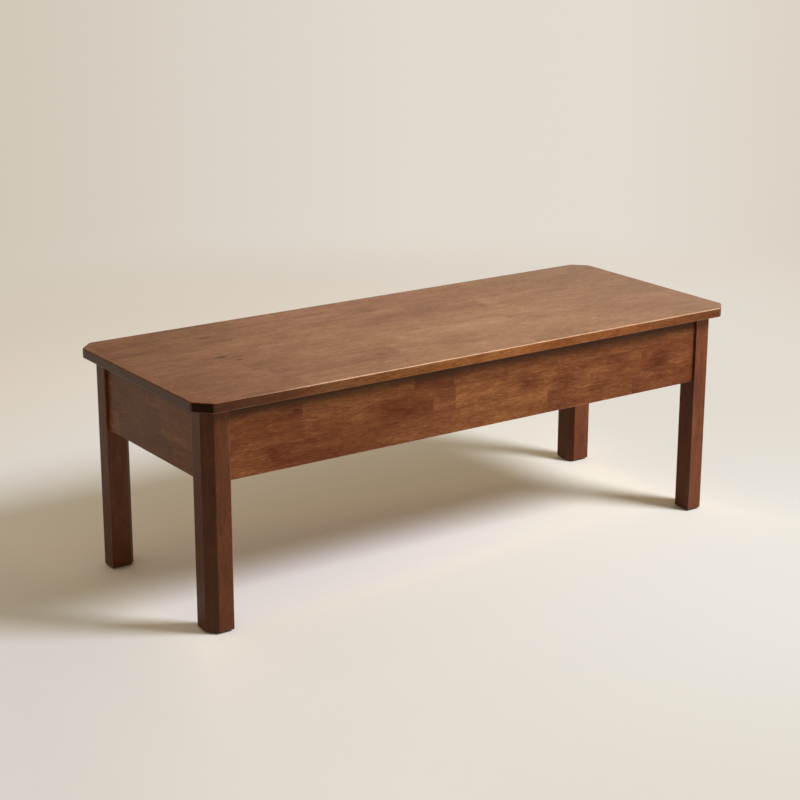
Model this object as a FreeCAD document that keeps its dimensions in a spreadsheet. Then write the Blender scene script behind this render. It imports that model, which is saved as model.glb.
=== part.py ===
import FreeCAD, Part
import Sketcher

import math
import os

# A low solid-wood bench. An edge-glued top with clipped corners lies on a frame of
# four aprons. A square leg with a clipped outer corner stands at each end of the
# aprons, and two bolts through a diagonal corner block draw it tight against them.
# Lengths are in millimetres. The origin is on the floor under the bench's centre,
# with X along the bench, the front towards -Y and Z up.

# Driving sizes

SIZES = {
    # top panel
    "seat_height": 425,
    "top_length": 1200,
    "top_width": 465,
    "top_thickness": 18,
    "top_corner_clip": 28,
    "top_clip_round": 12,
    "top_upper_ease": 2,
    "top_lower_ease": 1.5,
    "top_overhang": 21.5,
    # legs
    "leg_width": 48,
    "leg_corner_clip": 17.5,
    "leg_bolt_flat": 8,
    "leg_ease": 2,
    "foot_chamfer": 1.5,
    # aprons
    "apron_height": 133,
    "apron_thickness": 20,
    "apron_setback": 6,
    "apron_ease": 1.5,
    # corner blocks
    "block_standoff": 10,
    "block_thickness": 20,
    "block_height": 80,
    "block_drop": 32,
    # hanger bolts, washers and nuts that hold the legs
    "bolt_diameter": 8,
    "bolt_spacing": 40,
    "bolt_in_leg": 36,
    "bolt_stickout": 4,
    "bolt_hole_gap": 0.5,
    "washer_diameter": 22,
    "washer_thickness": 1.8,
    "nut_across_flats": 13,
    "nut_height": 6.5,
    # wood screws
    "screw_diameter": 4,
    "screw_head_diameter": 8,
    "screw_head_height": 2.8,
    "screw_counterbore_gap": 0.7,
    "block_screw_length": 20,
    "block_screw_grip": 8,
    "block_screw_spacing": 52,
    "clip_screw_length": 15,
    "rail_screw_length": 35,
    "rail_screw_grip": 22,
    "rail_screw_inset": 95,
    # cross rails and their dowels
    "rail_thickness": 22,
    "rail_height": 60,
    "rail_ease": 1.5,
    "dowel_diameter": 8,
    "dowel_length": 30,
    "dowel_in_apron": 12,
    "dowel_spacing": 22,
    "dowel_drop": 37,
    # sheet-steel clips that hold the top
    "clip_thickness": 1.8,
    "clip_width": 18,
    "clip_flange": 17,
    "clip_drop": 12,
    "clip_tongue": 9,
    "clip_face_gap": 2,
    "clip_bend": 1.2,
    "clip_end_inset": 95,
    "kerf_width": 3,
    # foot glides and their nails
    "glide_diameter": 24,
    "glide_thickness": 3,
    "glide_ease": 1,
    "nail_diameter": 2.4,
    "nail_length": 18,
    "nail_head_diameter": 6,
    "nail_head_thickness": 0.9,
    "nail_recess_diameter": 7,
    "nail_recess_depth": 1.4,
    # clearances
    "shank_gap": 0.1,
    "hole_end_gap": 0.6,
}

# Places worked out from the driving sizes, written as formulas of the sheet

UNDERSIDE = "(Sizes.seat_height - Sizes.top_thickness)"
LEG_CENTRE_X = "(Sizes.top_length / 2 - Sizes.top_overhang - Sizes.leg_width / 2)"
LEG_CENTRE_Y = "(Sizes.top_width / 2 - Sizes.top_overhang - Sizes.leg_width / 2)"
LEG_LENGTH = f"({UNDERSIDE} - Sizes.glide_thickness)"

# the aprons run between the legs, and their inner faces would meet at (FACE_X, FACE_Y)
APRON_INSET = "(Sizes.top_overhang + Sizes.apron_setback + Sizes.apron_thickness)"
FACE_X = f"(Sizes.top_length / 2 - {APRON_INSET})"
FACE_Y = f"(Sizes.top_width / 2 - {APRON_INSET})"
LONG_HALF = "(Sizes.top_length / 2 - Sizes.top_overhang - Sizes.leg_width)"
SHORT_HALF = "(Sizes.top_width / 2 - Sizes.top_overhang - Sizes.leg_width)"
LEG_REACH = "(Sizes.leg_width - Sizes.apron_setback - Sizes.apron_thickness)"

# distances along the corner's diagonal, inwards from (FACE_X, FACE_Y)
FLAT_DEPTH = f"({LEG_REACH} * sqrt(2) - Sizes.leg_bolt_flat / sqrt(2))"
BLOCK_FRONT = f"({FLAT_DEPTH} + Sizes.block_standoff)"
BLOCK_BACK = f"({BLOCK_FRONT} + Sizes.block_thickness)"

# the block's screws enter the aprons this far from (FACE_X, FACE_Y)
SCREW_REACH = f"(({BLOCK_FRONT} + {BLOCK_BACK}) / sqrt(2))"
BLOCK_MIDDLE_DROP = "(Sizes.block_drop + Sizes.block_height / 2)"

# clips are spread along the aprons, and the rails lie midway between two long-side clips
LONG_CLIP = f"({LONG_HALF} - Sizes.clip_end_inset)"
SHORT_CLIP = f"({SHORT_HALF} - Sizes.clip_end_inset)"
LONG_CLIP_STEPS = (-1, -1 / 3, 1 / 3, 1)
SHORT_CLIP_STEPS = (-1, 1)
CLIP_SCREW_REACH = "(Sizes.clip_face_gap + Sizes.clip_flange / 2)"
RAIL_X = f"({LONG_CLIP} * 2 / 3)"
RAIL_SCREW_Y = f"({FACE_Y} - Sizes.rail_screw_inset)"

# radii of the round pieces and of the holes that take them
SHANK = "Sizes.screw_diameter / 2"
SHANK_HOLE = "(Sizes.screw_diameter / 2 + Sizes.shank_gap)"
HEAD = "Sizes.screw_head_diameter / 2"
HEAD_HOLE = "(Sizes.screw_head_diameter / 2 + Sizes.screw_counterbore_gap)"
BOLT = "Sizes.bolt_diameter / 2"
BOLT_HOLE = "(Sizes.bolt_diameter / 2 + Sizes.bolt_hole_gap)"
THREAD_HOLE = "(Sizes.bolt_diameter / 2 + Sizes.shank_gap)"
DOWEL = "Sizes.dowel_diameter / 2"
DOWEL_HOLE = "(Sizes.dowel_diameter / 2 + Sizes.shank_gap)"
NAIL = "Sizes.nail_diameter / 2"
NAIL_HOLE = "(Sizes.nail_diameter / 2 + Sizes.shank_gap)"
NAIL_IN_GLIDE = "(Sizes.glide_thickness - Sizes.nail_recess_depth)"

# The fasteners repeat dozens of times, so their round shanks, heads and holes are drawn
# with a few flat sides: a shank's corners touch its true radius, and so do a hole's sides.
SCREW_SIDE_COUNT = 8
ROD_SIDE_COUNT = 12
NUT_SIDE_COUNT = 6
GLIDE_SIDE_COUNT = 24

# two places this near to each other count as one, and a hole must take out this volume
CLOSE = 0.01
LEAST_CUT = 0.01

SIGNS = (1, -1)
CORNERS = {
    "rear_right": (1, 1),
    "rear_left": (-1, 1),
    "front_left": (-1, -1),
    "front_right": (1, -1),
}

doc = FreeCAD.newDocument("monks_bench")
sub_parts = []


def write_sheet():
    """Write the driving sizes, with their names, into the document's sheet."""
    sheet = doc.addObject("Spreadsheet::Sheet", "Sizes")
    for row, (name, value) in enumerate(SIZES.items(), start=1):
        sheet.set(f"A{row}", name)
        sheet.set(f"B{row}", str(value))
        sheet.setAlias(f"B{row}", name)
    doc.recompute()


# Helpers for bodies, sketches and cuts


def vector(x=0.0, y=0.0, z=0.0):
    """A point or direction."""
    return FreeCAD.Vector(x, y, z)


def turn(degrees, axis=(0, 0, 1)):
    """A rotation about an axis through the origin."""
    return FreeCAD.Rotation(vector(*axis), degrees)


def along(x, y, z):
    """The rotation that points a piece's own Z axis along a direction."""
    return FreeCAD.Rotation(vector(0, 0, 1), vector(x, y, z))


def new_body(name):
    """An empty body."""
    body = doc.addObject("PartDesign::Body", name)
    body.Label = name
    return body


def new_sketch(body, name, role, offset="0"):
    """A sketch on one of the body's origin planes, moved along the plane's normal."""
    plane = [item for item in body.Origin.OriginFeatures if item.Role == role][0]
    sketch = body.newObject("Sketcher::SketchObject", name)
    sketch.AttachmentSupport = [(plane, "")]
    sketch.MapMode = "FlatFace"
    sketch.setExpression(".AttachmentOffset.Base.z", offset)
    return sketch


def hold(sketch, kind, geometry, point, formula):
    """Hold a point's distance from the sketch's origin at a formula of the sheet."""
    index = sketch.addConstraint(Sketcher.Constraint(kind, -1, 1, geometry, point, 1.0))
    sketch.setExpression(f"Constraints[{index}]", formula)


def outline(sketch, corners):
    """Draw a closed polygon whose corners are held at pairs of formulas."""
    count = len(corners)
    angles = [2 * math.pi * number / count for number in range(count)]
    starts = [vector(math.cos(angle), math.sin(angle)) for angle in angles]
    for number in range(count):
        line = Part.LineSegment(starts[number], starts[(number + 1) % count])
        sketch.addGeometry(line, False)
    for number in range(count):
        joint = Sketcher.Constraint("Coincident", number, 2, (number + 1) % count, 1)
        sketch.addConstraint(joint)
    for number, (across, up) in enumerate(corners):
        hold(sketch, "DistanceX", number, 1, across)
        hold(sketch, "DistanceY", number, 1, up)


def pad(body, sketch, length, both_ways=False, backwards=False):
    """Thicken a sketch into a solid."""
    feature = body.newObject("PartDesign::Pad", f"{body.Name}_pad")
    feature.Profile = sketch
    feature.setExpression("Length", length)
    feature.SideType = "Symmetric" if both_ways else "One side"
    feature.Reversed = backwards
    doc.recompute()


def rod(body, name, radius, length, sides, z="0"):
    """Add a straight-sided rod along Z, its corners at a radius."""
    feature = body.newObject("PartDesign::AdditivePrism", name)
    plane = [item for item in body.Origin.OriginFeatures if item.Role == "XY_Plane"][0]
    feature.AttachmentSupport = [(plane, "")]
    feature.MapMode = "FlatFace"
    feature.setExpression(".AttachmentOffset.Base.z", z)
    feature.Polygon = sides
    feature.setExpression("Circumradius", radius)
    feature.setExpression("Height", length)
    doc.recompute()


def edges_where(feature, test):
    """The names of a feature's edges that pass a test."""
    edges = enumerate(feature.Shape.Edges, start=1)
    return [f"Edge{number}" for number, edge in edges if test(edge)]


def fillet(body, name, radius, test):
    """Round the edges of the body's last feature that pass a test."""
    base = body.Tip
    feature = body.newObject("PartDesign::Fillet", name)
    feature.Base = (base, edges_where(base, test))
    feature.setExpression("Radius", radius)
    doc.recompute()


def chamfer(body, name, width, test):
    """Chamfer the edges of the body's last feature that pass a test."""
    base = body.Tip
    feature = body.newObject("PartDesign::Chamfer", name)
    feature.Base = (base, edges_where(base, test))
    feature.setExpression("Size", width)
    doc.recompute()


def is_upright(edge):
    """Whether an edge runs along Z."""
    return edge.BoundBox.XLength < CLOSE and edge.BoundBox.YLength < CLOSE


def is_at_height(edge, height):
    """Whether an edge lies flat at a height."""
    box = edge.BoundBox
    return abs(box.ZMin - height) < CLOSE and abs(box.ZMax - height) < CLOSE


def runs_along_x(edge):
    """Whether an edge runs along X."""
    return edge.BoundBox.YLength < CLOSE and edge.BoundBox.ZLength < CLOSE


def size(name):
    """A driving size read back from the sheet."""
    return float(doc.Sizes.get(name))


def place(item, x="0", y="0", z="0", rotation=None):
    """Place an object, with its position bound to formulas of the sheet."""
    item.Placement = FreeCAD.Placement(vector(), rotation or turn(0))
    item.setExpression(".Placement.Base.x", x)
    item.setExpression(".Placement.Base.y", y)
    item.setExpression(".Placement.Base.z", z)


def keep(item):
    """Count a finished object among the sub-parts."""
    sub_parts.append(item)


def copy_of(master, x, y, z, rotation):
    """A placed copy of a master piece."""
    link = doc.addObject("App::Link", f"{master.Name}_copy")
    link.LinkedObject = master
    place(link, x, y, z, rotation)
    return link


def group(name, copies):
    """One sub-part that holds like pieces as separate solids."""
    compound = doc.addObject("Part::Compound", name)
    compound.Label = name
    compound.Links = copies
    keep(compound)


# Rods, and the holes that take them


def rod_master(name, radius, length, sides):
    """A rod that stands on Z = 0."""
    body = new_body(name)
    rod(body, f"{name}_rod", radius, length, sides)
    return body


def headed_master(name, radius, length, head_radius, head_height):
    """A rod up from Z = 0, with a wider one down from it."""
    body = new_body(name)
    rod(body, f"{name}_shank", radius, length, SCREW_SIDE_COUNT)
    rod(body, f"{name}_head", head_radius, head_height, SCREW_SIDE_COUNT, z=f"-1 * ({head_height})")
    return body


def around(radius, sides):
    """The corner radius of a hole whose flat sides touch a radius."""
    return f"{radius} / {math.cos(math.pi / sides):.6f}"


def bores(name, radius, depth, sides, starts, direction):
    """Like holes, as solids to cut away, from several points along a direction."""
    master = rod_master(name, around(radius, sides), depth, sides)
    return [copy_of(master, *start, along(*direction)) for start in starts]


def recessed_bores(name, radius, depth, recess_radius, recess_depth, seats, direction):
    """Like holes from several seats along a direction, with a recess behind each seat."""
    narrow = around(radius, SCREW_SIDE_COUNT)
    wide = around(recess_radius, SCREW_SIDE_COUNT)
    master = headed_master(name, narrow, depth, wide, recess_depth)
    return [copy_of(master, *seat, along(*direction)) for seat in seats]


def drill(blank, name, holes):
    """Cut a blank's holes, which makes the finished piece."""
    tools = doc.addObject("Part::Compound", f"{name}_holes")
    tools.Links = holes
    piece = doc.addObject("Part::Cut", name)
    piece.Label = name
    piece.Base = blank
    piece.Tool = tools
    return piece


# Top panel


def clip_screw_centres():
    """Where the clips' screws enter the top's underside."""
    long_y = f"({FACE_Y} - {CLIP_SCREW_REACH})"
    short_x = f"({FACE_X} - {CLIP_SCREW_REACH})"
    centres = []
    for side in SIGNS:
        for step in LONG_CLIP_STEPS:
            centres.append((f"{step} * {LONG_CLIP}", f"{side} * {long_y}"))
        for step in SHORT_CLIP_STEPS:
            centres.append((f"{side} * {short_x}", f"{step} * {SHORT_CLIP}"))
    return centres


def rail_screw_centres():
    """Where the rails' screws enter the top's underside."""
    return [(f"{end} * {RAIL_X}", f"{side} * {RAIL_SCREW_Y}") for end in SIGNS for side in SIGNS]


def make_top():
    """The edge-glued top, its corners clipped and its arrises eased."""
    blank = new_body("top_blank")
    half_x = "Sizes.top_length / 2"
    half_y = "Sizes.top_width / 2"
    short_x = f"({half_x} - Sizes.top_corner_clip)"
    short_y = f"({half_y} - Sizes.top_corner_clip)"
    corners = []
    for side_x, side_y in CORNERS.values():
        pair = [
            (f"{side_x} * {half_x}", f"{side_y} * {short_y}"),
            (f"{side_x} * {short_x}", f"{side_y} * {half_y}"),
        ]
        corners += pair if side_x == side_y else pair[::-1]
    plan = new_sketch(blank, "top_plan", "XY_Plane")
    outline(plan, corners)
    pad(blank, plan, "Sizes.top_thickness")
    fillet(blank, "top_clip_rounding", "Sizes.top_clip_round", is_upright)
    thickness = size("top_thickness")
    fillet(blank, "top_upper_easing", "Sizes.top_upper_ease", lambda edge: is_at_height(edge, thickness))
    fillet(blank, "top_lower_easing", "Sizes.top_lower_ease", lambda edge: is_at_height(edge, 0))

    starts = [(x, y, "0") for x, y in clip_screw_centres()]
    depth = "Sizes.clip_screw_length - Sizes.clip_thickness + Sizes.hole_end_gap"
    holes = bores("top_clip_pilot", SHANK_HOLE, depth, SCREW_SIDE_COUNT, starts, (0, 0, 1))
    starts = [(x, y, "0") for x, y in rail_screw_centres()]
    depth = "Sizes.rail_screw_length - Sizes.rail_screw_grip + Sizes.hole_end_gap"
    holes += bores("top_rail_pilot", SHANK_HOLE, depth, SCREW_SIDE_COUNT, starts, (0, 0, 1))
    top = drill(blank, "top_panel", holes)
    place(top, z=UNDERSIDE)
    keep(top)


# Legs


def make_leg(corner, side_x, side_y):
    """A leg drawn on its diagonal: +X points out to the clipped corner."""
    name = f"leg_{corner}"
    blank = new_body(f"{name}_blank")
    tip = "Sizes.leg_width / sqrt(2)"
    clip = "Sizes.leg_corner_clip / sqrt(2)"
    flat = "Sizes.leg_bolt_flat / sqrt(2)"
    section = new_sketch(blank, f"{name}_section", "XY_Plane")
    corners = [
        (f"{tip} - {clip}", clip),
        ("0", tip),
        (f"{flat} - {tip}", flat),
        (f"{flat} - {tip}", f"-1 * {flat}"),
        ("0", f"-1 * {tip}"),
        (f"{tip} - {clip}", f"-1 * {clip}"),
    ]
    outline(section, corners)
    pad(blank, section, LEG_LENGTH)
    fillet(
        blank,
        f"{name}_easing",
        "Sizes.leg_ease",
        lambda edge: is_upright(edge) and edge.BoundBox.XMin > -CLOSE,
    )
    chamfer(blank, f"{name}_foot", "Sizes.foot_chamfer", lambda edge: is_at_height(edge, 0))

    middle = f"({LEG_LENGTH} - {BLOCK_MIDDLE_DROP})"
    starts = [
        (f"{flat} - {tip}", "0", f"{middle} + {level} * Sizes.bolt_spacing / 2") for level in SIGNS
    ]
    depth = "Sizes.bolt_in_leg + Sizes.hole_end_gap"
    holes = bores(f"{name}_bolt_hole", THREAD_HOLE, depth, ROD_SIDE_COUNT, starts, (1, 0, 0))
    depth = f"Sizes.nail_length - {NAIL_IN_GLIDE} + Sizes.hole_end_gap"
    start = ("0", "0", "0")
    holes += bores(f"{name}_nail_hole", NAIL_HOLE, depth, SCREW_SIDE_COUNT, [start], (0, 0, 1))
    leg = drill(blank, name, holes)

    angle = math.degrees(math.atan2(side_y, side_x))
    x = f"{side_x} * {LEG_CENTRE_X}"
    y = f"{side_y} * {LEG_CENTRE_Y}"
    place(leg, x, y, "Sizes.glide_thickness", turn(angle))
    keep(leg)


# Aprons


def make_apron(name, half_length, angle, x, y, carries_rails):
    """An apron as a moulding: its inner face at Y = 0 and its top edge at Z = 0."""
    blank = new_body(f"{name}_blank")
    thickness = "Sizes.apron_thickness"
    bottom = "-1 * Sizes.apron_height"
    kerf_depth = "Sizes.clip_tongue + Sizes.hole_end_gap"
    kerf_top = "Sizes.clip_thickness - Sizes.clip_drop"
    kerf_bottom = f"{kerf_top} - Sizes.kerf_width"
    section = new_sketch(blank, f"{name}_section", "YZ_Plane")
    corners = [
        ("0", "0"),
        (thickness, "0"),
        (thickness, bottom),
        ("0", bottom),
        ("0", kerf_bottom),
        (kerf_depth, kerf_bottom),
        (kerf_depth, kerf_top),
        ("0", kerf_top),
    ]
    outline(section, corners)
    pad(blank, section, f"2 * {half_length}", both_ways=True)
    height = size("apron_height")
    fillet(
        blank,
        f"{name}_easing",
        "Sizes.apron_ease",
        lambda edge: runs_along_x(edge) and is_at_height(edge, -height),
    )

    reach = f"({half_length} + {LEG_REACH} - {SCREW_REACH})"
    starts = [
        (f"{end} * {reach}", "0", f"{level} * Sizes.block_screw_spacing / 2 - {BLOCK_MIDDLE_DROP}")
        for end in SIGNS
        for level in SIGNS
    ]
    depth = "Sizes.block_screw_length - Sizes.block_screw_grip + Sizes.hole_end_gap"
    holes = bores(f"{name}_screw_pilot", SHANK_HOLE, depth, SCREW_SIDE_COUNT, starts, (0, 1, 0))

    if carries_rails:
        starts = [
            (f"{end} * {RAIL_X}", "0", f"{level} * Sizes.dowel_spacing / 2 - Sizes.dowel_drop")
            for end in SIGNS
            for level in SIGNS
        ]
        depth = "Sizes.dowel_in_apron + Sizes.hole_end_gap"
        holes += bores(f"{name}_dowel_hole", DOWEL_HOLE, depth, ROD_SIDE_COUNT, starts, (0, 1, 0))
    apron = drill(blank, name, holes)
    place(apron, x, y, UNDERSIDE, turn(angle))
    keep(apron)


def make_aprons():
    """The four aprons between the legs."""
    make_apron("apron_rear", LONG_HALF, 0, "0", FACE_Y, True)
    make_apron("apron_front", LONG_HALF, 180, "0", f"-1 * {FACE_Y}", True)
    make_apron("apron_right", SHORT_HALF, -90, FACE_X, "0", False)
    make_apron("apron_left", SHORT_HALF, 90, f"-1 * {FACE_X}", "0", False)


# Corner blocks


def make_block(corner, side_x, side_y):
    """A diagonal block: +X points out to the leg, and its mitred ends lie on the aprons."""
    name = f"corner_block_{corner}"
    blank = new_body(f"{name}_blank")
    plan = new_sketch(blank, f"{name}_plan", "XY_Plane")
    corners = [
        (f"-1 * {BLOCK_FRONT}", BLOCK_FRONT),
        (f"-1 * {BLOCK_BACK}", BLOCK_BACK),
        (f"-1 * {BLOCK_BACK}", f"-1 * {BLOCK_BACK}"),
        (f"-1 * {BLOCK_FRONT}", f"-1 * {BLOCK_FRONT}"),
    ]
    outline(plan, corners)
    pad(blank, plan, "Sizes.block_height", both_ways=True)

    starts = [(f"-1 * {BLOCK_FRONT}", "0", f"{level} * Sizes.bolt_spacing / 2") for level in SIGNS]
    depth = "Sizes.block_thickness"
    holes = bores(f"{name}_bolt_hole", BOLT_HOLE, depth, ROD_SIDE_COUNT, starts, (-1, 0, 0))

    # the screw through a mitred end is square to the apron, at 45 degrees to the block
    grip = "Sizes.block_screw_grip"
    seat_x = f"(-1 * {SCREW_REACH} - {grip}) / sqrt(2)"
    for side, mark in ((1, "left"), (-1, "right")):
        seat_y = f"{side} * ({SCREW_REACH} - {grip}) / sqrt(2)"
        seats = [(seat_x, seat_y, f"{level} * Sizes.block_screw_spacing / 2") for level in SIGNS]
        hole = f"{name}_{mark}_hole"
        holes += recessed_bores(hole, SHANK_HOLE, grip, HEAD_HOLE, depth, seats, (1, side, 0))
    block = drill(blank, name, holes)

    angle = math.degrees(math.atan2(side_y, side_x))
    x = f"{side_x} * {FACE_X}"
    y = f"{side_y} * {FACE_Y}"
    place(block, x, y, f"{UNDERSIDE} - {BLOCK_MIDDLE_DROP}", turn(angle))
    keep(block)


# Leg bolts, washers and nuts


def bolt_master():
    """A hanger bolt: Z = 0 at the leg's flat, the wood end pointing down."""
    body = new_body("hanger_bolt_master")
    stack = "Sizes.block_thickness + Sizes.washer_thickness + Sizes.nut_height"
    length = f"Sizes.bolt_in_leg + Sizes.block_standoff + {stack} + Sizes.bolt_stickout"
    rod(body, "hanger_bolt_rod", BOLT, length, ROD_SIDE_COUNT, z="-1 * Sizes.bolt_in_leg")
    return body


def ring_master(name, radius, height, sides):
    """A flat piece that stands on Z = 0, with a hole for the bolt."""
    blank = rod_master(f"{name}_blank", radius, height, sides)
    start = ("0", "0", "0")
    hole = bores(f"{name}_hole", THREAD_HOLE, height, ROD_SIDE_COUNT, [start], (0, 0, 1))
    return drill(blank, name, hole)


def corner_stack(name, master, depth):
    """A master piece at both bolt heights of each corner, at a depth along the diagonal."""
    copies = []
    for side_x, side_y in CORNERS.values():
        for level in SIGNS:
            x = f"{side_x} * ({FACE_X} - {depth} / sqrt(2))"
            y = f"{side_y} * ({FACE_Y} - {depth} / sqrt(2))"
            z = f"{UNDERSIDE} - {BLOCK_MIDDLE_DROP} + {level} * Sizes.bolt_spacing / 2"
            copies.append(copy_of(master, x, y, z, along(-side_x, -side_y, 0)))
    group(name, copies)


def make_leg_bolts():
    """The bolts, washers and nuts that draw the legs against the aprons."""
    corner_stack("hanger_bolts", bolt_master(), FLAT_DEPTH)
    radius = "Sizes.washer_diameter / 2"
    washer = ring_master("washer_master", radius, "Sizes.washer_thickness", ROD_SIDE_COUNT)
    corner_stack("bolt_washers", washer, BLOCK_BACK)
    radius = "Sizes.nut_across_flats / sqrt(3)"
    nut = ring_master("nut_master", radius, "Sizes.nut_height", NUT_SIDE_COUNT)
    corner_stack("bolt_nuts", nut, f"({BLOCK_BACK} + Sizes.washer_thickness)")


# Wood screws


def screw_master(name, length):
    """A pan-head wood screw: the head's seat at Z = 0, the shank upwards."""
    return headed_master(name, SHANK, length, HEAD, "Sizes.screw_head_height")


def make_block_screws():
    """Four screws through each corner block, two into either apron."""
    master = screw_master("block_screw_master", "Sizes.block_screw_length")
    grip = "Sizes.block_screw_grip"
    copies = []
    for side_x, side_y in CORNERS.values():
        for level in SIGNS:
            z = f"{UNDERSIDE} - {BLOCK_MIDDLE_DROP} + {level} * Sizes.block_screw_spacing / 2"
            x = f"{side_x} * ({FACE_X} - {SCREW_REACH})"
            y = f"{side_y} * ({FACE_Y} - {grip})"
            copies.append(copy_of(master, x, y, z, along(0, side_y, 0)))
            x = f"{side_x} * ({FACE_X} - {grip})"
            y = f"{side_y} * ({FACE_Y} - {SCREW_REACH})"
            copies.append(copy_of(master, x, y, z, along(side_x, 0, 0)))
    group("block_screws", copies)


def make_top_screws():
    """The screws that go up into the top, through the clips and through the rails."""
    master = screw_master("clip_screw_master", "Sizes.clip_screw_length")
    z = f"{UNDERSIDE} - Sizes.clip_thickness"
    group("clip_screws", [copy_of(master, x, y, z, turn(0)) for x, y in clip_screw_centres()])
    master = screw_master("rail_screw_master", "Sizes.rail_screw_length")
    z = f"{UNDERSIDE} - Sizes.rail_screw_grip"
    group("rail_screws", [copy_of(master, x, y, z, turn(0)) for x, y in rail_screw_centres()])


# Cross rails and their dowels


def make_rail(name, end):
    """A rail under the top between the long aprons, its top face at Z = 0."""
    blank = new_body(f"{name}_blank")
    half_x = "Sizes.rail_thickness / 2"
    corners = [(f"{sx} * {half_x}", f"{sy} * {FACE_Y}") for sx, sy in CORNERS.values()]
    plan = new_sketch(blank, f"{name}_plan", "XY_Plane")
    outline(plan, corners)
    pad(blank, plan, "Sizes.rail_height", backwards=True)
    height = size("rail_height")
    fillet(
        blank,
        f"{name}_easing",
        "Sizes.rail_ease",
        lambda edge: is_at_height(edge, -height) and edge.BoundBox.XLength < CLOSE,
    )

    grip = "Sizes.rail_screw_grip"
    seats = [("0", f"{side} * {RAIL_SCREW_Y}", f"-1 * {grip}") for side in SIGNS]
    depth = f"Sizes.rail_height - {grip}"
    hole = f"{name}_screw_hole"
    holes = recessed_bores(hole, SHANK_HOLE, grip, HEAD_HOLE, depth, seats, (0, 0, 1))

    depth = "Sizes.dowel_length - Sizes.dowel_in_apron + Sizes.hole_end_gap"
    heights = [f"{level} * Sizes.dowel_spacing / 2 - Sizes.dowel_drop" for level in SIGNS]
    for side, mark in ((1, "rear"), (-1, "front")):
        starts = [("0", f"{side} * {FACE_Y}", height) for height in heights]
        hole = f"{name}_{mark}_hole"
        holes += bores(hole, DOWEL_HOLE, depth, ROD_SIDE_COUNT, starts, (0, -side, 0))
    rail = drill(blank, name, holes)
    place(rail, x=f"{end} * {RAIL_X}", z=UNDERSIDE)
    keep(rail)


def make_rail_dowels():
    """Two dowels in each end of both rails."""
    master = new_body("rail_dowel_master")
    inside = "Sizes.dowel_in_apron - Sizes.dowel_length"
    rod(master, "rail_dowel_rod", DOWEL, "Sizes.dowel_length", ROD_SIDE_COUNT, z=inside)
    copies = []
    for end in SIGNS:
        for side in SIGNS:
            for level in SIGNS:
                z = f"{UNDERSIDE} - Sizes.dowel_drop + {level} * Sizes.dowel_spacing / 2"
                x = f"{end} * {RAIL_X}"
                copies.append(copy_of(master, x, f"{side} * {FACE_Y}", z, along(0, side, 0)))
    group("rail_dowels", copies)


# Clips that hold the top to the aprons


def clip_master():
    """A bent steel clip: +X points away from the apron's face, Z = 0 under the top."""
    blank = new_body("top_clip_blank")
    gap = "Sizes.clip_face_gap"
    thick = "Sizes.clip_thickness"
    drop = "Sizes.clip_drop"
    section = new_sketch(blank, "clip_section", "XZ_Plane")
    corners = [
        (gap, "0"),
        (f"{gap} + Sizes.clip_flange", "0"),
        (f"{gap} + Sizes.clip_flange", f"-1 * {thick}"),
        (f"{gap} + {thick}", f"-1 * {thick}"),
        (f"{gap} + {thick}", f"-1 * {drop}"),
        ("-1 * Sizes.clip_tongue", f"-1 * {drop}"),
        ("-1 * Sizes.clip_tongue", f"{thick} - {drop}"),
        (gap, f"{thick} - {drop}"),
    ]
    outline(section, corners)
    pad(blank, section, "Sizes.clip_width", both_ways=True)
    step_x = size("clip_face_gap")
    bends = [(step_x, 0.0), (step_x + size("clip_thickness"), -size("clip_drop"))]

    def is_bend(edge):
        box = edge.BoundBox
        level = box.XLength < CLOSE and box.ZLength < CLOSE
        return level and any(math.hypot(box.XMin - x, box.ZMin - z) < CLOSE for x, z in bends)

    chamfer(blank, "clip_bends", "Sizes.clip_bend", is_bend)
    start = (CLIP_SCREW_REACH, "0", "0")
    hole = bores("clip_hole", SHANK_HOLE, thick, SCREW_SIDE_COUNT, [start], (0, 0, -1))
    return drill(blank, "top_clip_master", hole)


def make_clips():
    """The clips round the inside of the aprons, their tongues in the aprons' kerf."""
    master = clip_master()
    copies = []
    for side in SIGNS:
        for step in LONG_CLIP_STEPS:
            inwards = turn(-90 * side)
            x = f"{step} * {LONG_CLIP}"
            copies.append(copy_of(master, x, f"{side} * {FACE_Y}", UNDERSIDE, inwards))
        for step in SHORT_CLIP_STEPS:
            inwards = turn(180 if side > 0 else 0)
            y = f"{step} * {SHORT_CLIP}"
            copies.append(copy_of(master, f"{side} * {FACE_X}", y, UNDERSIDE, inwards))
    group("top_clips", copies)


# Foot glides and their nails


def make_glide(corner, side_x, side_y):
    """A round glide under a foot, with a recess for the head of its nail."""
    name = f"foot_glide_{corner}"
    outside = "Sizes.glide_diameter / 2"
    blank = rod_master(f"{name}_blank", outside, "Sizes.glide_thickness", GLIDE_SIDE_COUNT)
    chamfer(blank, f"{name}_easing", "Sizes.glide_ease", lambda edge: is_at_height(edge, 0))
    recess = "Sizes.nail_recess_diameter / 2"
    depth = "Sizes.nail_recess_depth"
    seat = ("0", "0", depth)
    hole = f"{name}_hole"
    holes = recessed_bores(hole, NAIL_HOLE, NAIL_IN_GLIDE, recess, depth, [seat], (0, 0, 1))
    glide = drill(blank, name, holes)
    place(glide, f"{side_x} * {LEG_CENTRE_X}", f"{side_y} * {LEG_CENTRE_Y}")
    keep(glide)


def make_glide_nails():
    """The nails that hold the glides, their heads inside the recesses."""
    head = "Sizes.nail_head_diameter / 2"
    height = "Sizes.nail_head_thickness"
    master = headed_master("glide_nail_master", NAIL, "Sizes.nail_length", head, height)
    copies = []
    for side_x, side_y in CORNERS.values():
        x = f"{side_x} * {LEG_CENTRE_X}"
        y = f"{side_y} * {LEG_CENTRE_Y}"
        copies.append(copy_of(master, x, y, "Sizes.nail_recess_depth", turn(0)))
    group("glide_nails", copies)


# Tests before anything is written


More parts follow.
